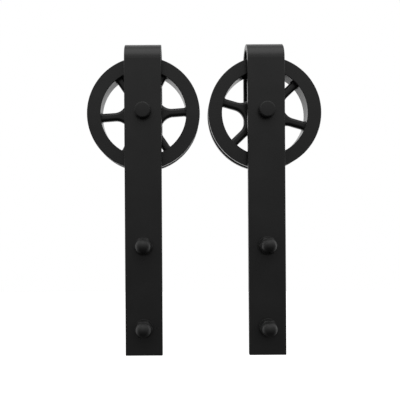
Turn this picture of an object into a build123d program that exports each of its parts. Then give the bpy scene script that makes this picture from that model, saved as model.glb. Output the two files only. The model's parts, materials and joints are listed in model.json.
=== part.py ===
from build123d import *
from build123d import SkipClean
import os
from math import cos, radians, sin

# Sliding barn door hardware: a pair of bent-strap hangers with spoked, double-flanged wheels.
#
# Frame, in millimetres: +X runs along the rail, +Y points from the front of the hanger into the
# door, +Z is up. The origin is on the face of the left strap that bears on the door, midway
# between its two door bolts.

# ---------------------------------------------------------------- strap
STRAP_WIDTH = 40.0
STRAP_THICKNESS = 6.0
STRAP_DEPTH = 40.0  # outside, from the front leg's front face to the rear leg's rear face
STRAP_HEIGHT = 340.0
STRAP_EDGE_RADIUS = 0.8
BOLT_PITCH = 88.0
LOWER_BOLT_TO_END = 29.5
AXLE_TO_TOP = 77.0
REAR_LEG_BELOW_AXLE = 20.0
DOOR_FACE_LENGTH = 190.0  # part of the front leg's rear face that bears on the door
HANGER_SPACING = 133.0  # between the two hangers' centre planes

# ---------------------------------------------------------------- wheel
WHEEL_RADIUS = 61.8
WHEEL_WIDTH = 20.0
TREAD_RADIUS = 51.5
TREAD_WIDTH = 7.6
GROOVE_MOUTH_WIDTH = 9.4
RIM_INNER_RADIUS = 46.9
FLANGE_EDGE_RADIUS = 0.6
HUB_RADIUS = 18.0
HUB_WIDTH = 24.0
HUB_EDGE_CHAMFER = 0.8
HUB_SHOULDER_RADIUS = 11.5
SPOKE_COUNT = 6
SPOKE_WIDTH = 9.0
SPOKE_DEPTH = 9.0
SPOKE_EDGE_RADIUS = 3.4
WINDOW_HUB_RADIUS = 14.0  # rounding between two spokes at the hub
WINDOW_RIM_RADIUS = 2.5  # rounding between a spoke and the rim
WINDOW_OVERRUN = 0.5  # the windows' outer arcs are buried this far in the rim
WINDOW_RIM_CORNER_OFFSET = 15.0  # a window's rim corners lie further than this off its middle line
LEFT_SPOKE_ANGLE = 3.9  # rest angle of the first spoke above +X, in degrees
RIGHT_SPOKE_ANGLE = 43.5

# ---------------------------------------------------------------- deep-groove ball bearings
BEARING_BORE_RADIUS = 5.0
BEARING_OUTER_RADIUS = 13.0
BEARING_WIDTH = 8.0
BALL_COUNT = 7
BALL_RADIUS = 2.38
BALL_CIRCLE_RADIUS = 9.0
RACE_CLEARANCE = 0.05
INNER_SHOULDER_RADIUS = 7.4
OUTER_SHOULDER_RADIUS = 10.6
RING_CHAMFER = 0.3
SHIELD_SEAT_RADIUS = 11.0
SHIELD_LIP_RADIUS = 7.6
SHIELD_THICKNESS = 0.5
SHIELD_INSET = 0.3
CAGE_INNER_RADIUS = 8.1
CAGE_OUTER_RADIUS = 9.9
CAGE_BACK = 2.95  # from the balls' plane to the closed side of the crown cage
CAGE_FRONT = 1.0
CAGE_POCKET_RADIUS = 2.45

# ---------------------------------------------------------------- axle and its fasteners
AXLE_RADIUS = 5.0
AXLE_HOLE_RADIUS = 5.2
AXLE_HEAD_RADIUS = 8.75
AXLE_HEAD_HEIGHT = 7.5
AXLE_HEAD_CHAMFER = 1.5
AXLE_TIP_CHAMFER = 1.0
AXLE_TIP_LENGTH = 3.0  # stands out past the lock nut
SPACER_RADIUS = 7.0
WASHER_RADIUS = 10.0
WASHER_BORE_RADIUS = 5.25
WASHER_THICKNESS = 2.0
WASHER_CHAMFER = 0.3
HEX_ACROSS_FLATS = 17.0
HEX_SIDES = 6
HEX_FACE_RADIUS = 8.1  # of the flat circle that is left when the corners are turned off
HEX_TURNING_SLOPE = 0.5  # axial over radial run of the turned corners
LOCK_NUT_HEX_HEIGHT = 6.8
LOCK_NUT_HEIGHT = 10.0
LOCK_NUT_COLLAR_RADIUS = 7.9
LOCK_NUT_LIP_RADIUS = 6.1
LOCK_NUT_LIP_THICKNESS = 0.6
LOCK_NUT_CROWN_HEIGHT = 1.2  # of the collar's rolled-over edge
INSERT_HEIGHT = 2.4
INSERT_OUTER_RADIUS = 6.9

# ---------------------------------------------------------------- door bolts and cap nuts
BOLT_SHANK_RADIUS = 5.0
BOLT_THREAD_RADIUS = 4.51  # the thread's pitch radius, where bolt and nut meet
BOLT_HOLE_RADIUS = 5.5
BOLT_HEAD_HEIGHT = 6.4
BOLT_TIP_CHAMFER = 0.8
DOOR_GRIP = 44.0  # door thickness that the bolts clamp
BOLT_NECK_RADIUS = 5.2  # under the head, where the shank flares inside the washer
CAP_HEX_HEIGHT = 8.0
CAP_DOME_RADIUS = 8.0
CAP_NUT_HEIGHT = 18.0
CAP_BORE_DEPTH = 13.0
BOLT_ENGAGEMENT = 11.0
THREAD_PITCH = 1.5
THREAD_DEPTH = 0.45
THREAD_GROOVE_WIDTH = 1.2

# ---------------------------------------------------------------- derived places
FRONT_FACE_Y = -STRAP_THICKNESS
REAR_FACE_Y = STRAP_DEPTH - STRAP_THICKNESS
REAR_LEG_INNER_Y = REAR_FACE_Y - STRAP_THICKNESS
WHEEL_PLANE_Y = REAR_LEG_INNER_Y / 2
STRAP_BOTTOM_Z = -BOLT_PITCH / 2 - LOWER_BOLT_TO_END
STRAP_TOP_Z = STRAP_BOTTOM_Z + STRAP_HEIGHT
AXLE_Z = STRAP_TOP_Z - AXLE_TO_TOP
BEND_Z = STRAP_TOP_Z - STRAP_DEPTH / 2
HUB_FRONT_Y = WHEEL_PLANE_Y - HUB_WIDTH / 2
HUB_REAR_Y = WHEEL_PLANE_Y + HUB_WIDTH / 2
FRONT_BEARING_Y = HUB_FRONT_Y + BEARING_WIDTH / 2
REAR_BEARING_Y = HUB_REAR_Y - BEARING_WIDTH / 2
SLEEVE_FRONT_Y = HUB_FRONT_Y + BEARING_WIDTH
SLEEVE_REAR_Y = HUB_REAR_Y - BEARING_WIDTH
CAP_SEAT_Y = FRONT_FACE_Y - WASHER_THICKNESS
LOCK_NUT_SEAT_Y = REAR_FACE_Y + WASHER_THICKNESS
BOLT_HEAD_SEAT_Y = DOOR_GRIP + WASHER_THICKNESS
CUT_MARGIN = 1.0  # how far a cutting tool runs past the face that it opens


# ---------------------------------------------------------------- shared shapes
def turned(outline):
    """A solid of revolution about +Y from a closed outline of (radius, y) points."""
    return revolve(make_face(Polyline(*outline, close=True)), Axis.Y)


def tube(outer_radius, inner_radius, y_start, y_end, chamfer_size=0.0):
    """A ring about the Y axis whose four edges can be chamfered."""
    c = chamfer_size
    if not c:
        return turned([
            (inner_radius, y_start), (outer_radius, y_start),
            (outer_radius, y_end), (inner_radius, y_end),
        ])
    return turned([
        (inner_radius, y_start + c), (inner_radius + c, y_start),
        (outer_radius - c, y_start), (outer_radius, y_start + c),
        (outer_radius, y_end - c), (outer_radius - c, y_end),
        (inner_radius + c, y_end), (inner_radius, y_end - c),
    ])


def hexagon(y_start, y_end, chamfered_ends):
    """A hexagonal prism about the Y axis, flats up and down, with its corners turned off."""
    outline = RegularPolygon(HEX_ACROSS_FLATS / 2, HEX_SIDES, major_radius=False)
    prism = Pos(0, y_start, 0) * Rot(-90, 0, 0) * extrude(outline, y_end - y_start)
    corner = HEX_ACROSS_FLATS / 2 / cos(radians(180 / HEX_SIDES)) + CUT_MARGIN
    run = (corner - HEX_FACE_RADIUS) * HEX_TURNING_SLOPE
    envelope = [(0, y_start), (corner, y_start), (corner, y_end), (0, y_end)]
    if "start" in chamfered_ends:
        envelope[1:2] = [(HEX_FACE_RADIUS, y_start), (corner, y_start + run)]
    if "end" in chamfered_ends:
        envelope[-2:-1] = [(corner, y_end - run), (HEX_FACE_RADIUS, y_end)]
    return prism & turned(envelope)


def hanger_bolt_places(shape):
    """The shape at each of the two door bolts of a hanger."""
    return Compound([Pos(0, 0, side * BOLT_PITCH / 2) * shape for side in (-1, 1)])


# ---------------------------------------------------------------- strap
def strap():
    """A flat bar bent over the wheel: a long front leg, a half-round bend and a short rear leg.

    The front leg's rear face is divided at the top of the stretch that bears on the door."""
    outer = STRAP_DEPTH / 2
    inner = outer - STRAP_THICKNESS
    rear_bottom_z = AXLE_Z - REAR_LEG_BELOW_AXLE
    front_bottom, front_top = (FRONT_FACE_Y, STRAP_BOTTOM_Z), (FRONT_FACE_Y, BEND_Z)
    rear_top, rear_bottom = (REAR_FACE_Y, BEND_Z), (REAR_FACE_Y, rear_bottom_z)
    inner_rear_bottom, inner_rear_top = (REAR_LEG_INNER_Y, rear_bottom_z), (REAR_LEG_INNER_Y, BEND_Z)
    inner_front_top, inner_front_bottom = (0, BEND_Z), (0, STRAP_BOTTOM_Z)
    door_face_top = (0, STRAP_BOTTOM_Z + DOOR_FACE_LENGTH)
    outline = Wire([
        Line(front_bottom, front_top),
        ThreePointArc(front_top, (WHEEL_PLANE_Y, BEND_Z + outer), rear_top),
        Line(rear_top, rear_bottom),
        Line(rear_bottom, inner_rear_bottom),
        Line(inner_rear_bottom, inner_rear_top),
        ThreePointArc(inner_rear_top, (WHEEL_PLANE_Y, BEND_Z + inner), inner_front_top),
        Line(inner_front_top, door_face_top),
        Line(door_face_top, inner_front_bottom),
        Line(inner_front_bottom, front_bottom),
    ])
    profile = Plane.YZ.offset(-STRAP_WIDTH / 2) * Face(outline)
    bar = Solid.extrude(profile, Vector(STRAP_WIDTH, 0, 0))
    side_edges = [
        edge
        for side in (Axis.X, -Axis.X)
        for edge in bar.faces().sort_by(side)[-1].edges()
    ]
    bar = bar.fillet(STRAP_EDGE_RADIUS, side_edges)
    axle_drill = tube(AXLE_HOLE_RADIUS, 0, FRONT_FACE_Y - CUT_MARGIN, REAR_FACE_Y + CUT_MARGIN)
    bolt_drill = tube(BOLT_HOLE_RADIUS, 0, FRONT_FACE_Y - CUT_MARGIN, CUT_MARGIN)
    with SkipClean():  # cleaning would join the divided face again
        return bar.cut(Pos(0, 0, AXLE_Z) * axle_drill, *hanger_bolt_places(bolt_drill))


# ---------------------------------------------------------------- wheel
def rim():
    """The double-flanged rim. The rail runs in its groove, whose sides open outwards."""
    half = WHEEL_WIDTH / 2
    tread = TREAD_WIDTH / 2
    mouth = GROOVE_MOUTH_WIDTH / 2
    ring = turned([
        (RIM_INNER_RADIUS, -half), (WHEEL_RADIUS, -half), (WHEEL_RADIUS, -mouth),
        (TREAD_RADIUS, -tread), (TREAD_RADIUS, tread),
        (WHEEL_RADIUS, mouth), (WHEEL_RADIUS, half), (RIM_INNER_RADIUS, half),
    ])
    return fillet(ring.edges().filter_by(GeomType.CIRCLE), FLANGE_EDGE_RADIUS)


def window():
    """One opening between two spokes, before it is turned to its place."""
    apex = SPOKE_WIDTH / 2 / sin(radians(180 / SPOKE_COUNT))
    reach = 2 * WHEEL_RADIUS
    half_angle = radians(180 / SPOKE_COUNT)
    corner = (apex + reach * cos(half_angle), reach * sin(half_angle))
    wedge = make_face(Polyline((apex, 0), corner, (corner[0], -corner[1]), close=True))
    opening = wedge & Circle(RIM_INNER_RADIUS + WINDOW_OVERRUN)
    apex_vertex = opening.vertices().sort_by(Axis.X)[0]
    opening = fillet(apex_vertex, WINDOW_HUB_RADIUS)
    rim_corners = [v for v in opening.vertices() if abs(Vector(v).Y) > WINDOW_RIM_CORNER_OFFSET]
    return fillet(rim_corners, WINDOW_RIM_RADIUS)


def spokes():
    """A web with rounded windows, whose strips between them are the spokes."""
    web = Circle((RIM_INNER_RADIUS + TREAD_RADIUS) / 2)
    for index in range(SPOKE_COUNT):
        web -= Rot(0, 0, (index + 0.5) * 360 / SPOKE_COUNT) * window()
    web = extrude(web, SPOKE_DEPTH / 2, both=True)
    limit = RIM_INNER_RADIUS + WINDOW_OVERRUN + CUT_MARGIN / 2
    face_edges = [
        edge
        for face in (web.faces().sort_by(Axis.Z)[0], web.faces().sort_by(Axis.Z)[-1])
        for edge in face.edges()
        if Vector(edge @ 0.5).length < (limit ** 2 + SPOKE_DEPTH ** 2 / 4) ** 0.5
    ]
    return Rot(-90, 0, 0) * fillet(face_edges, SPOKE_EDGE_RADIUS)


def hub():
    """The hub's outside. It is wider than the rim, to hold two bearings."""
    half = HUB_WIDTH / 2
    c = HUB_EDGE_CHAMFER
    return turned([
        (0, -half), (HUB_RADIUS - c, -half), (HUB_RADIUS, c - half),
        (HUB_RADIUS, half - c), (HUB_RADIUS - c, half), (0, half),
    ])


def wheel(spoke_angle):
    """The cast wheel, turned so that its first spoke lies spoke_angle above +X."""
    half = HUB_WIDTH / 2
    body = rim() + spokes() + hub()
    body -= tube(HUB_SHOULDER_RADIUS, 0, -half - CUT_MARGIN, half + CUT_MARGIN)
    body -= tube(BEARING_OUTER_RADIUS, 0, -half - CUT_MARGIN, BEARING_WIDTH - half)
    body -= tube(BEARING_OUTER_RADIUS, 0, half - BEARING_WIDTH, half + CUT_MARGIN)
    return Pos(0, WHEEL_PLANE_Y, 0) * Rot(0, -spoke_angle, 0) * body


# ---------------------------------------------------------------- bearings
def race_groove():
    """The ring-shaped space that the balls run in."""
    return Rot(90, 0, 0) * Torus(BALL_CIRCLE_RADIUS, BALL_RADIUS + RACE_CLEARANCE)


def bearing_inner_ring():
    half = BEARING_WIDTH / 2
    ring = tube(INNER_SHOULDER_RADIUS, BEARING_BORE_RADIUS, -half, half, RING_CHAMFER)
    return ring - race_groove()


def bearing_outer_ring():
    half = BEARING_WIDTH / 2
    ring = tube(BEARING_OUTER_RADIUS, OUTER_SHOULDER_RADIUS, -half, half, RING_CHAMFER)
    seat_floor = half - SHIELD_INSET - SHIELD_THICKNESS
    for side in (-1, 1):
        ends = sorted((side * seat_floor, side * (half + CUT_MARGIN)))
        ring -= tube(SHIELD_SEAT_RADIUS, 0, *ends)
    return ring - race_groove()


def bearing_shields():
    """The two thin washers that close the bearing."""
    outer_face = BEARING_WIDTH / 2 - SHIELD_INSET
    faces = [sorted((side * outer_face, side * (outer_face - SHIELD_THICKNESS))) for side in (-1, 1)]
    return Compound([tube(SHIELD_SEAT_RADIUS, SHIELD_LIP_RADIUS, *ends) for ends in faces])


def ball_places(shape):
    """The shape at each ball's place around the bearing."""
    on_circle = Pos(BALL_CIRCLE_RADIUS, 0, 0) * shape
    return [Rot(0, index * 360 / BALL_COUNT, 0) * on_circle for index in range(BALL_COUNT)]


def bearing_balls():
    return Compound(ball_places(Sphere(BALL_RADIUS)))


def bearing_cage():
    """A crown cage: a closed ring on one side, with pockets that open to the other."""
    ring = tube(CAGE_OUTER_RADIUS, CAGE_INNER_RADIUS, -CAGE_BACK, CAGE_FRONT)
    for pocket in ball_places(Sphere(CAGE_POCKET_RADIUS)):
        ring -= pocket
    return ring


# ---------------------------------------------------------------- axle and its fasteners
def thread_groove(radius, y):
    """A ring-shaped V groove that stands for one turn of a thread."""
    outer = radius + CUT_MARGIN
    inner = radius - THREAD_DEPTH
    half = THREAD_GROOVE_WIDTH / 2 * (outer - inner) / THREAD_DEPTH
    return turned([(outer, y - half), (inner, y), (outer, y + half)])


def axle_bolt():
    """A round-headed bolt through both legs. The bearings' inner rings sit on its shank."""
    head_y = FRONT_FACE_Y - AXLE_HEAD_HEIGHT
    tip_y = LOCK_NUT_SEAT_Y + LOCK_NUT_HEIGHT + AXLE_TIP_LENGTH
    bolt = turned([
        (0, head_y), (AXLE_HEAD_RADIUS - AXLE_HEAD_CHAMFER, head_y),
        (AXLE_HEAD_RADIUS, head_y + AXLE_HEAD_CHAMFER), (AXLE_HEAD_RADIUS, FRONT_FACE_Y),
        (AXLE_RADIUS, FRONT_FACE_Y), (AXLE_RADIUS, tip_y - AXLE_TIP_CHAMFER),
        (AXLE_RADIUS - AXLE_TIP_CHAMFER, tip_y), (0, tip_y),
    ])
    groove_y = LOCK_NUT_SEAT_Y + LOCK_NUT_HEIGHT + THREAD_PITCH / 2
    return bolt - thread_groove(AXLE_RADIUS, groove_y)


def axle_nut():
    """A lock nut: a hexagon with a round collar that holds the insert."""
    hex_end = LOCK_NUT_SEAT_Y + LOCK_NUT_HEX_HEIGHT
    end = LOCK_NUT_SEAT_Y + LOCK_NUT_HEIGHT
    nut = hexagon(LOCK_NUT_SEAT_Y, hex_end, "start end")
    insert_end = end - LOCK_NUT_LIP_THICKNESS
    nut += turned([
        (0, hex_end - CUT_MARGIN), (LOCK_NUT_COLLAR_RADIUS, hex_end - CUT_MARGIN),
        (LOCK_NUT_COLLAR_RADIUS, end - LOCK_NUT_CROWN_HEIGHT),
        (LOCK_NUT_LIP_RADIUS + LOCK_NUT_LIP_THICKNESS, end), (0, end),
    ])
    nut -= tube(AXLE_RADIUS, 0, LOCK_NUT_SEAT_Y - CUT_MARGIN, end)
    nut -= tube(INSERT_OUTER_RADIUS, 0, insert_end - INSERT_HEIGHT, insert_end)
    nut -= tube(LOCK_NUT_LIP_RADIUS, 0, insert_end - CUT_MARGIN, end + CUT_MARGIN)
    return nut


def axle_nut_insert():
    """The nylon ring that grips the axle's thread."""
    end = LOCK_NUT_SEAT_Y + LOCK_NUT_HEIGHT - LOCK_NUT_LIP_THICKNESS
    return tube(INSERT_OUTER_RADIUS, AXLE_RADIUS, end - INSERT_HEIGHT, end)


def flat_washer(y_start):
    return tube(WASHER_RADIUS, WASHER_BORE_RADIUS, y_start, y_start + WASHER_THICKNESS, WASHER_CHAMFER)


# ---------------------------------------------------------------- door bolts and cap nuts
def door_bolt():
    """A hexagon bolt from the back of the door. Its plain shank crosses the door."""
    tip_y = CAP_SEAT_Y - BOLT_ENGAGEMENT
    head_end = BOLT_HEAD_SEAT_Y + BOLT_HEAD_HEIGHT
    shank = turned([
        (0, tip_y), (BOLT_THREAD_RADIUS - BOLT_TIP_CHAMFER, tip_y),
        (BOLT_THREAD_RADIUS, tip_y + BOLT_TIP_CHAMFER), (BOLT_THREAD_RADIUS, 0),
        (BOLT_SHANK_RADIUS, 0), (BOLT_SHANK_RADIUS, DOOR_GRIP),
        (BOLT_NECK_RADIUS, BOLT_HEAD_SEAT_Y), (0, BOLT_HEAD_SEAT_Y),
    ])
    return shank + hexagon(BOLT_HEAD_SEAT_Y, head_end, "end")


def cap_nut():
    """A domed nut with a blind threaded bore, on the front of the strap."""
    hex_front = CAP_SEAT_Y - CAP_HEX_HEIGHT
    dome_y = CAP_SEAT_Y - CAP_NUT_HEIGHT + CAP_DOME_RADIUS
    nut = hexagon(hex_front, CAP_SEAT_Y, "start end")
    nut += tube(CAP_DOME_RADIUS, 0, dome_y, hex_front + CUT_MARGIN)
    nut += Pos(0, dome_y, 0) * Sphere(CAP_DOME_RADIUS)
    return nut - tube(BOLT_THREAD_RADIUS, 0, CAP_SEAT_Y - CAP_BORE_DEPTH, CAP_SEAT_Y + CUT_MARGIN)


# ---------------------------------------------------------------- assembly
def bearing(prefix, y):
    """The pieces of one bearing, by name, centred on the axle at depth y."""
    pieces = {
        "inner_ring": bearing_inner_ring(),
        "outer_ring": bearing_outer_ring(),
        "shields": bearing_shields(),
        "balls": bearing_balls(),
        "cage": bearing_cage(),
    }
    return {f"{prefix}_bearing_{name}": Pos(0, y, 0) * shape for name, shape in pieces.items()}


def hanger(spoke_angle):
    """Every piece of one hanger, by name, in the frame of its own strap."""
    on_axle = {
        "wheel": wheel(spoke_angle),
        **bearing("front", FRONT_BEARING_Y),
        **bearing("rear", REAR_BEARING_Y),
        "bearing_sleeve": tube(SPACER_RADIUS, AXLE_RADIUS, SLEEVE_FRONT_Y, SLEEVE_REAR_Y),
        "front_spacer": tube(SPACER_RADIUS, AXLE_RADIUS, 0, HUB_FRONT_Y),
        "rear_spacer": tube(SPACER_RADIUS, AXLE_RADIUS, HUB_REAR_Y, REAR_LEG_INNER_Y),
        "axle_bolt": axle_bolt(),
        "axle_washer": flat_washer(REAR_FACE_Y),
        "axle_nut": axle_nut(),
        "axle_nut_insert": axle_nut_insert(),
    }
    return {
        "strap": strap(),
        **{name: Pos(0, 0, AXLE_Z) * shape for name, shape in on_axle.items()},
        "door_bolts": hanger_bolt_places(door_bolt()),
        "door_bolt_washers": hanger_bolt_places(flat_washer(DOOR_GRIP)),
        "cap_nuts": hanger_bolt_places(cap_nut()),
        "cap_nut_washers": hanger_bolt_places(flat_washer(CAP_SEAT_Y)),
    }


def main():
    os.makedirs("parts", exist_ok=True)
    hangers = (("left", 0.0, LEFT_SPOKE_ANGLE), ("right", HANGER_SPACING, RIGHT_SPOKE_ANGLE))
    for side, x, spoke_angle in hangers:
        for name, shape in hanger(spoke_angle).items():
            export_step(Pos(x, 0, 0) * shape, f"parts/{side}_{name}.step")


main()
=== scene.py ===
import json
import math

import bmesh
import bpy
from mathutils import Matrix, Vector


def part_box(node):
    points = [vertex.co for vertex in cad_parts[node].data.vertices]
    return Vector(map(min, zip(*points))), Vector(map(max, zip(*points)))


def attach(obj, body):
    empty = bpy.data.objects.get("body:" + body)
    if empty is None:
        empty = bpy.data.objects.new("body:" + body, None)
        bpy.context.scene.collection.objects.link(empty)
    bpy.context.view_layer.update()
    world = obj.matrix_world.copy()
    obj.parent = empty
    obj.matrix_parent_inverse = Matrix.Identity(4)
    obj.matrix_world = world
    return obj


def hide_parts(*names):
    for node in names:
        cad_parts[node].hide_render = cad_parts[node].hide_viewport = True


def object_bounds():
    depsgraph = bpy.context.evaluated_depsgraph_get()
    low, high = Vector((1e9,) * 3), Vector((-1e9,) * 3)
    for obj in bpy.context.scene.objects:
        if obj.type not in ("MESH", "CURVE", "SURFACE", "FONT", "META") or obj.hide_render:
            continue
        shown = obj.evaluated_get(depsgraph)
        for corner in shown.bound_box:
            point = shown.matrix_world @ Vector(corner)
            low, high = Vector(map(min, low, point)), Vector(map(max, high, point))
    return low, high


# The looks of a pair of sliding barn door hangers: black powder-coated straps and spoked wheels,
# black fasteners, and the bright bearings and spacers inside the hubs. Metres throughout.

MM = 0.001
SIDES = ("left", "right")

# The camera looks straight along Y at the straps' fronts, from a little right of the left strap.
CAMERA_LENS = 47.0
CAMERA_SENSOR = 36.0
CAMERA_TO_STRAP = 561 * MM
CAMERA_RIGHT_OF_LEFT_STRAP = 37.1 * MM
CAMERA_ABOVE_BOLTS = 56 * MM  # above the middle between a strap's two door bolts
CAMERA_SHIFT = (0.055, 0.0875)
CAMERA_ROLL = math.radians(0.35)
CAMERA_NEAREST = 10 * MM

# Fasteners.
THREAD_PITCH = 1.5 * MM
THREAD_DEPTH = 0.85 * MM
THREAD_CREST_SHARE = 0.2  # of the pitch that the thread's flat crest takes
AXLE_RADIUS = 5 * MM
AXLE_TIP_CHAMFER = 1 * MM
AXLE_HEAD_ROUNDING = 1.7 * MM
DOOR_BOLT_RADIUS = 5 * MM
DOOR_BOLT_THREAD = 30 * MM
DOOR_BOLT_TIP_CHAMFER = 0.8 * MM
HEX_ACROSS_FLATS = 17 * MM
HEX_CORNER_ANGLE = math.radians(60)
HEX_FACE_RADIUS = 8.1 * MM  # of the flat circle that is left when the corners are turned off
HEX_TURNING_SLOPE = 0.5  # axial over radial run of the turned corners
PIECE_SIDES = 96
EDGE_RINGS = 6
RINGS_PER_PITCH = 10
SHARP_EDGE = math.radians(32)

# Textures. A noise's scale is in cycles per metre, and a pair is where its ramp starts and ends.
COAT_CLOUD_SCALE = 45.0
COAT_CLOUD_DETAIL = 4.0
COAT_PEEL_SCALE = 620.0
COAT_GRAIN_SCALE = 2600.0
COAT_COLOUR_RAMP = (0.35, 0.7)
COAT_PEEL_DEPTH = 0.12 * MM
COAT_GRAIN_STRENGTH = 0.25
COAT_GLOSS_SPREAD = (-0.05, 0.06)
COAT_IOR = 1.5
STEEL_CLOUD_SCALE = 160.0
STEEL_RING_STRETCH = (0.15, 1.0, 0.15)
STEEL_RING_STRENGTH = 0.3
STEEL_GLOSS_SPREAD = (-0.05, 0.1)
STEEL_SHADE = 0.8  # of its colour where the steel is darkest
NYLON_CLOUD_SCALE = 300.0
NYLON_GRAIN_SCALE = 2200.0
NYLON_GRAIN_STRENGTH = 0.2
NYLON_SHADE = 0.9
NYLON_ROUGHNESS = 0.45
NYLON_DEPTH_OF_LIGHT = 1 * MM
NYLON_SHARE_OF_DEEP_LIGHT = 0.15
NOISE_RAMP = (0.3, 0.7)
NOISE_ROUGHNESS = 0.55
NOISE_DETAIL = 3.0
FINE_DETAIL = 2.0
FINE_BUMP_DEPTH = 0.02 * MM

# The studio.
FLOOR_BELOW = 0.26
FLOOR_SIZE = 6.0
FLOOR_GLOW = 0.6
FLOOR_WHITE = (0.93, 0.93, 0.93, 1)
FLOOR_ROUGHNESS = 0.9
FLOOR_SHINE = 0.1
WHITE = (1, 1, 1, 1)
TOP_SOFTBOX_FROM_MIDDLE = (0, -0.45, 1.1)
TOP_SOFTBOX_SIZE = (1.3, 0.8)
TOP_SOFTBOX_WATTS = 2.5

# The studio's brightness over a component of the direction: (component, brightness).
WALL_BEHIND_SHARE = [(-0.1, 0.0), (0.35, 1.0)]
FRONT_LIGHT = [
    (-0.5, 0.03), (-0.25, 0.13), (0.0, 0.22), (0.3, 0.41), (0.5, 0.56), (0.75, 0.68), (1.0, 0.54)
]
BACK_LIGHT = [(-0.7, 0.12), (-0.3, 0.85), (-0.1, 1.0), (0.7, 1.0), (0.88, 0.65), (1.0, 0.42)]

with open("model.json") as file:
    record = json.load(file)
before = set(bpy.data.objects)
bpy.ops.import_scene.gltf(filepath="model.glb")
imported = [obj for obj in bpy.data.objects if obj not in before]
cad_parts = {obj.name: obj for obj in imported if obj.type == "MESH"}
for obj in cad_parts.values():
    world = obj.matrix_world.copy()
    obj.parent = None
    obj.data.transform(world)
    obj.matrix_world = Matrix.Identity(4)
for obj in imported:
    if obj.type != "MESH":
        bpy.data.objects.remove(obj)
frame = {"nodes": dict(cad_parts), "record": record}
cad_low, cad_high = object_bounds()


# ---------------------------------------------------------------- materials
class Nodes:
    """A material's node tree, with short ways to add and join its nodes."""

    def __init__(self, name):
        self.material = bpy.data.materials.new(name)
        self.material.use_nodes = True
        self.tree = self.material.node_tree
        self.tree.nodes.clear()
        self.surface = self.add("ShaderNodeBsdfPrincipled")
        output = self.add("ShaderNodeOutputMaterial")
        self.join(self.surface, "BSDF", output, "Surface")
        self.place = self.add("ShaderNodeTexCoord")

    def add(self, kind):
        return self.tree.nodes.new(kind)

    def join(self, source, output, target, socket):
        self.tree.links.new(source.outputs[output], target.inputs[socket])

    def set(self, name, value):
        self.surface.inputs[name].default_value = value

    def noise(self, scale, detail=NOISE_DETAIL):
        node = self.add("ShaderNodeTexNoise")
        node.inputs["Scale"].default_value = scale
        node.inputs["Detail"].default_value = detail
        node.inputs["Roughness"].default_value = NOISE_ROUGHNESS
        self.join(self.place, "Object", node, "Vector")
        return node

    def ramp(self, source, positions, colours):
        """Turns a noise into colours between two, each a colour or one number for a grey."""
        node = self.add("ShaderNodeValToRGB")
        for element, position, colour in zip(node.color_ramp.elements, positions, colours):
            element.position = position
            element.color = (*colour, 1) if isinstance(colour, tuple) else (colour, colour, colour, 1)
        self.join(source, "Fac", node, "Fac")
        return node

    def bump(self, source, strength, distance, under=None):
        """Turns a noise into bumps, on top of the bumps under them if there are any."""
        node = self.add("ShaderNodeBump")
        node.inputs["Strength"].default_value = strength
        node.inputs["Distance"].default_value = distance
        self.join(source, "Fac", node, "Height")
        if under:
            self.join(under, "Normal", node, "Normal")
        return node


def powder_coat(name, dark, light, roughness, peel):
    """Black powder coat: orange peel, a fine grain and cloudy changes of gloss."""
    m = Nodes(name)
    clouds = m.noise(COAT_CLOUD_SCALE, COAT_CLOUD_DETAIL)
    fine_grain = m.noise(COAT_GRAIN_SCALE, FINE_DETAIL)
    orange_peel = m.noise(COAT_PEEL_SCALE, FINE_DETAIL)
    colour = m.ramp(clouds, COAT_COLOUR_RAMP, (dark, light))
    m.join(colour, "Color", m.surface, "Base Color")
    gloss = m.ramp(clouds, NOISE_RAMP, [roughness + change for change in COAT_GLOSS_SPREAD])
    m.join(gloss, "Color", m.surface, "Roughness")
    waves = m.bump(orange_peel, peel, COAT_PEEL_DEPTH)
    grain = m.bump(fine_grain, COAT_GRAIN_STRENGTH, FINE_BUMP_DEPTH, under=waves)
    m.join(grain, "Normal", m.surface, "Normal")
    m.set("IOR", COAT_IOR)
    return m.material


def bright_steel(name, colour, roughness, ring_scale):
    """Turned or ground steel, with fine rings about the Y axis and a little wear."""
    m = Nodes(name)
    m.set("Metallic", 1.0)
    stretch = m.add("ShaderNodeMapping")
    stretch.inputs["Scale"].default_value = STEEL_RING_STRETCH
    m.join(m.place, "Object", stretch, "Vector")
    rings = m.noise(ring_scale)
    m.join(stretch, "Vector", rings, "Vector")
    clouds = m.noise(STEEL_CLOUD_SCALE)
    tint = m.ramp(clouds, NOISE_RAMP, (tuple(c * STEEL_SHADE for c in colour), colour))
    m.join(tint, "Color", m.surface, "Base Color")
    gloss = m.ramp(rings, NOISE_RAMP, [roughness + change for change in STEEL_GLOSS_SPREAD])
    m.join(gloss, "Color", m.surface, "Roughness")
    scratches = m.bump(rings, STEEL_RING_STRENGTH, FINE_BUMP_DEPTH)
    m.join(scratches, "Normal", m.surface, "Normal")
    return m.material


def moulded_nylon(name, colour):
    """Moulded plastic that lets a little light in, with a fine grain."""
    m = Nodes(name)
    clouds = m.noise(NYLON_CLOUD_SCALE)
    tint = m.ramp(clouds, NOISE_RAMP, (tuple(c * NYLON_SHADE for c in colour), colour))
    m.join(tint, "Color", m.surface, "Base Color")
    m.set("Roughness", NYLON_ROUGHNESS)
    m.set("Subsurface Weight", NYLON_SHARE_OF_DEEP_LIGHT)
    m.set("Subsurface Radius", (NYLON_DEPTH_OF_LIGHT,) * 3)
    fine_grain = m.noise(NYLON_GRAIN_SCALE, FINE_DETAIL)
    grain = m.bump(fine_grain, NYLON_GRAIN_STRENGTH, FINE_BUMP_DEPTH)
    m.join(grain, "Normal", m.surface, "Normal")
    return m.material


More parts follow.
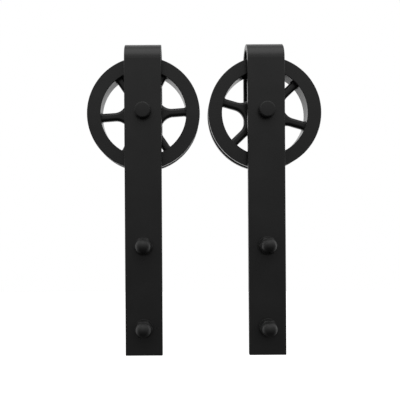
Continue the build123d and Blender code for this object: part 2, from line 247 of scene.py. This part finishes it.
FINISHES = {
    "strap_powder_coat": powder_coat(
        "strap_powder_coat", dark=0.018, light=0.022, roughness=0.32, peel=0.12),
    "wheel_powder_coat": powder_coat(
        "wheel_powder_coat", dark=0.018, light=0.023, roughness=0.27, peel=0.35),
    "black_fastener": powder_coat(
        "black_fastener", dark=0.014, light=0.019, roughness=0.5, peel=0.2),
    "bearing_steel": bright_steel(
        "bearing_steel", colour=(0.60, 0.60, 0.61), roughness=0.16, ring_scale=9000.0),
    "shield_steel": bright_steel(
        "shield_steel", colour=(0.45, 0.45, 0.46), roughness=0.32, ring_scale=7000.0),
    "zinc_steel": bright_steel(
        "zinc_steel", colour=(0.50, 0.51, 0.53), roughness=0.30, ring_scale=6000.0),
    "cage_nylon": moulded_nylon("cage_nylon", colour=(0.70, 0.63, 0.46)),
    "nylon": moulded_nylon("nylon", colour=(0.78, 0.77, 0.72)),
}


def finish_frame():
    """Gives each CAD node the finish that its material slot names."""
    for part in frame["record"]["subparts"]:
        node = frame["nodes"][part["node"]]
        node.data.materials.clear()
        node.data.materials.append(FINISHES[part["material_slot"]])


# ---------------------------------------------------------------- turned and threaded pieces
# A piece about the Y axis is a list of rings, and a ring gives (radius, y) at each angle about
# the axis, so that threads and hexagons can be made as well as plain turned shapes.
def plain(radius, y):
    """A round ring."""
    return lambda angle: (radius, y)


def rounded(radius, y, edge, away):
    """Rings around a rounded edge, from the face at y to the side. away is the side's way, 1 or -1."""
    steps = range(EDGE_RINGS + 1)
    turns = [math.radians(90) * step / EDGE_RINGS for step in steps]
    return [
        plain(radius - edge * (1 - math.sin(turn)), y + away * edge * (1 - math.cos(turn)))
        for turn in turns
    ]


def threaded(crest, tip_y, end_y, tip_chamfer):
    """Rings of a helical thread from its chamfered tip to where it runs out into the shank."""
    away = 1 if end_y > tip_y else -1
    count = round(abs(end_y - tip_y) / THREAD_PITCH * RINGS_PER_PITCH)

    def ring(y):
        def place(angle):
            turn = (y / THREAD_PITCH - angle / (2 * math.pi)) % 1.0
            flank = max(0.0, abs(2 * turn - 1) - THREAD_CREST_SHARE) / (1 - THREAD_CREST_SHARE)
            run_out = min(1.0, abs(end_y - y) / THREAD_PITCH)
            radius = crest - THREAD_DEPTH * flank * run_out
            return min(radius, crest - tip_chamfer + abs(y - tip_y)), y
        return place

    return [ring(tip_y + away * abs(end_y - tip_y) * step / count) for step in range(count + 1)]


def hexagon_radius(angle):
    """From the middle of a bolt head, flats up and down, to its outline."""
    from_flat = angle % HEX_CORNER_ANGLE - HEX_CORNER_ANGLE / 2
    return HEX_ACROSS_FLATS / 2 / math.cos(from_flat)


def hexagon_side(y):
    """The hexagon's outline at y."""
    return lambda angle: (hexagon_radius(angle), y)


def hexagon_corners(face_y, away):
    """Where the turned cone that takes the corners off leaves the sides."""
    def place(angle):
        radius = hexagon_radius(angle)
        return radius, face_y + away * (radius - HEX_FACE_RADIUS) * HEX_TURNING_SLOPE
    return place


def add_rings(points, faces, rings, axis):
    """Adds a closed skin over the rings, about the axis at (x, z)."""
    first = len(points)
    angles = [2 * math.pi * side / PIECE_SIDES for side in range(PIECE_SIDES)]
    for ring in rings:
        for angle in angles:
            radius, y = ring(angle)
            points.append((axis[0] + radius * math.cos(angle), y, axis[1] + radius * math.sin(angle)))
    for row in range(len(rings) - 1):
        start = first + row * PIECE_SIDES
        for side in range(PIECE_SIDES):
            a, b = start + side, start + (side + 1) % PIECE_SIDES
            faces.append((a, b, b + PIECE_SIDES, a + PIECE_SIDES))
    last = first + (len(rings) - 1) * PIECE_SIDES
    faces.append(tuple(range(first + PIECE_SIDES - 1, first - 1, -1)))
    faces.append(tuple(range(last, last + PIECE_SIDES)))


def piece(name, rings, axes, body, node, slot):
    """An object of the same rings about each axis, that stands for a CAD node."""
    points, faces = [], []
    for axis in axes:
        add_rings(points, faces, rings, axis)
    mesh = bpy.data.meshes.new(name)
    mesh.from_pydata(points, [], faces)
    skin = bmesh.new()
    skin.from_mesh(mesh)
    bmesh.ops.recalc_face_normals(skin, faces=skin.faces)
    skin.to_mesh(mesh)
    skin.free()
    mesh.polygons.foreach_set("use_smooth", [True] * len(mesh.polygons))
    mesh.set_sharp_from_angle(angle=SHARP_EDGE)
    mesh.materials.append(FINISHES[slot])
    shape = bpy.data.objects.new(name, mesh)
    bpy.context.scene.collection.objects.link(shape)
    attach(shape, body)
    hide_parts(node)


def axle_bolt(side):
    """The round-headed axle bolt: a softly rounded head and a real thread under the lock nut."""
    node = f"{side}_axle_bolt"
    low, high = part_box(node)
    head_radius = (high.x - low.x) / 2
    head_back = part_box(f"{side}_strap")[0].y
    thread_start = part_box(f"{side}_axle_washer")[0].y
    tip = threaded(AXLE_RADIUS, high.y, thread_start, AXLE_TIP_CHAMFER)
    rings = [
        *rounded(head_radius, low.y, AXLE_HEAD_ROUNDING, 1),
        plain(head_radius, head_back), plain(AXLE_RADIUS, head_back),
        *reversed(tip),
    ]
    middle = (low + high) / 2
    axes = [(middle.x, middle.z)]
    piece(f"{side}_axle_bolt_threaded", rings, axes, f"{side}_hanger", node, "black_fastener")


def door_bolts(side):
    """The two hexagon bolts of a hanger, threaded from the cap nut to a little way behind the strap."""
    node = f"{side}_door_bolts"
    low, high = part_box(node)
    head_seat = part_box(f"{side}_door_bolt_washers")[1].y
    half_height = HEX_ACROSS_FLATS / 2
    rings = [
        *threaded(DOOR_BOLT_RADIUS, low.y, low.y + DOOR_BOLT_THREAD, DOOR_BOLT_TIP_CHAMFER),
        plain(DOOR_BOLT_RADIUS, head_seat),
        hexagon_side(head_seat), hexagon_corners(high.y, -1), plain(HEX_FACE_RADIUS, high.y),
    ]
    middle = (low + high) / 2
    axes = [(middle.x, z) for z in (low.z + half_height, high.z - half_height)]
    piece(f"{side}_door_bolts_threaded", rings, axes, f"{side}_hanger", node, "black_fastener")


# ---------------------------------------------------------------- stage, light and camera
def floor():
    """A white floor that the camera sees and that neither lights nor mirrors in the object."""
    reach = FLOOR_SIZE / 2
    corners = [(-reach, -reach), (reach, -reach), (reach, reach), (-reach, reach)]
    z = cad_low.z - FLOOR_BELOW
    mesh = bpy.data.meshes.new("floor")
    mesh.from_pydata([(x, y, z) for x, y in corners], [], [(0, 1, 2, 3)])
    plane = bpy.data.objects.new("floor", mesh)
    bpy.context.scene.collection.objects.link(plane)
    m = Nodes("floor_paint")
    m.set("Base Color", FLOOR_WHITE)
    m.set("Roughness", FLOOR_ROUGHNESS)
    m.set("Specular IOR Level", FLOOR_SHINE)
    m.set("Emission Color", WHITE)
    m.set("Emission Strength", FLOOR_GLOW)
    mesh.materials.append(m.material)
    plane.visible_diffuse = False
    plane.visible_glossy = False


def top_softbox():
    """A soft light above and a little in front, that looks at the object's middle."""
    light = bpy.data.lights.new("top_softbox", "AREA")
    light.shape = "RECTANGLE"
    light.size, light.size_y = TOP_SOFTBOX_SIZE
    light.energy = TOP_SOFTBOX_WATTS
    lamp = bpy.data.objects.new("top_softbox", light)
    from_middle = Vector(TOP_SOFTBOX_FROM_MIDDLE)
    lamp.location = (cad_low + cad_high) / 2 + from_middle
    lamp.rotation_euler = (-from_middle).to_track_quat("-Z", "Y").to_euler()
    lamp.visible_camera = False
    bpy.context.scene.collection.objects.link(lamp)


class Sky:
    """The studio's world: white all round for the camera, and a white wall behind the object,
    a grey one in front that fades towards the floor, for everything that shines on the object."""

    def __init__(self):
        world = bpy.data.worlds.new("studio")
        bpy.context.scene.world = world
        world.use_nodes = True
        self.tree = world.node_tree
        self.tree.nodes.clear()
        place = self.tree.nodes.new("ShaderNodeTexCoord")
        self.split = self.tree.nodes.new("ShaderNodeSeparateXYZ")
        self.join(place.outputs["Generated"], self.split.inputs[0])
        behind = self.brightness("Y", WALL_BEHIND_SHARE)
        front_light = self.brightness("Z", FRONT_LIGHT)
        back_light = self.brightness("Z", BACK_LIGHT)
        blend = self.tree.nodes.new("ShaderNodeMix")
        blend.data_type = "RGBA"
        self.join(behind, blend.inputs["Factor"])
        self.join(front_light, blend.inputs["A"])
        self.join(back_light, blend.inputs["B"])
        shine = self.tree.nodes.new("ShaderNodeBackground")
        self.join(blend.outputs["Result"], shine.inputs["Color"])
        seen = self.tree.nodes.new("ShaderNodeBackground")
        seen.inputs["Color"].default_value = WHITE
        path = self.tree.nodes.new("ShaderNodeLightPath")
        mix = self.tree.nodes.new("ShaderNodeMixShader")
        output = self.tree.nodes.new("ShaderNodeOutputWorld")
        self.join(path.outputs["Is Camera Ray"], mix.inputs["Fac"])
        self.join(shine.outputs[0], mix.inputs[1])
        self.join(seen.outputs[0], mix.inputs[2])
        self.join(mix.outputs[0], output.inputs["Surface"])

    def join(self, source, target):
        self.tree.links.new(source, target)

    def brightness(self, axis, stops):
        """A ramp over one component of the direction, with stops of (component, brightness)."""
        span = self.tree.nodes.new("ShaderNodeMapRange")
        span.inputs["From Min"].default_value = -1.0
        span.inputs["From Max"].default_value = 1.0
        self.join(self.split.outputs[axis], span.inputs["Value"])
        ramp = self.tree.nodes.new("ShaderNodeValToRGB")
        elements = ramp.color_ramp.elements
        while len(elements) < len(stops):
            elements.new(0.5)
        for element, (component, level) in zip(elements, stops):
            element.position = (component + 1) / 2
            element.color = (level, level, level, 1)
        self.join(span.outputs["Result"], ramp.inputs["Fac"])
        return ramp.outputs["Color"]


def camera():
    """A camera in front of the straps, placed from the left one."""
    data = bpy.data.cameras.new("camera")
    data.lens = CAMERA_LENS
    data.sensor_width = CAMERA_SENSOR
    data.shift_x, data.shift_y = CAMERA_SHIFT
    data.clip_start = CAMERA_NEAREST
    eye = bpy.data.objects.new("camera", data)
    strap_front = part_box("left_strap")[0].y
    eye.location = (CAMERA_RIGHT_OF_LEFT_STRAP, strap_front - CAMERA_TO_STRAP, CAMERA_ABOVE_BOLTS)
    eye.rotation_euler = (math.radians(90), CAMERA_ROLL, 0)
    bpy.context.scene.collection.objects.link(eye)
    bpy.context.scene.camera = eye


finish_frame()
for side in SIDES:
    axle_bolt(side)
    door_bolts(side)
floor()
Sky()
top_softbox()
camera()
bpy.context.scene.view_settings.view_transform = "Standard"
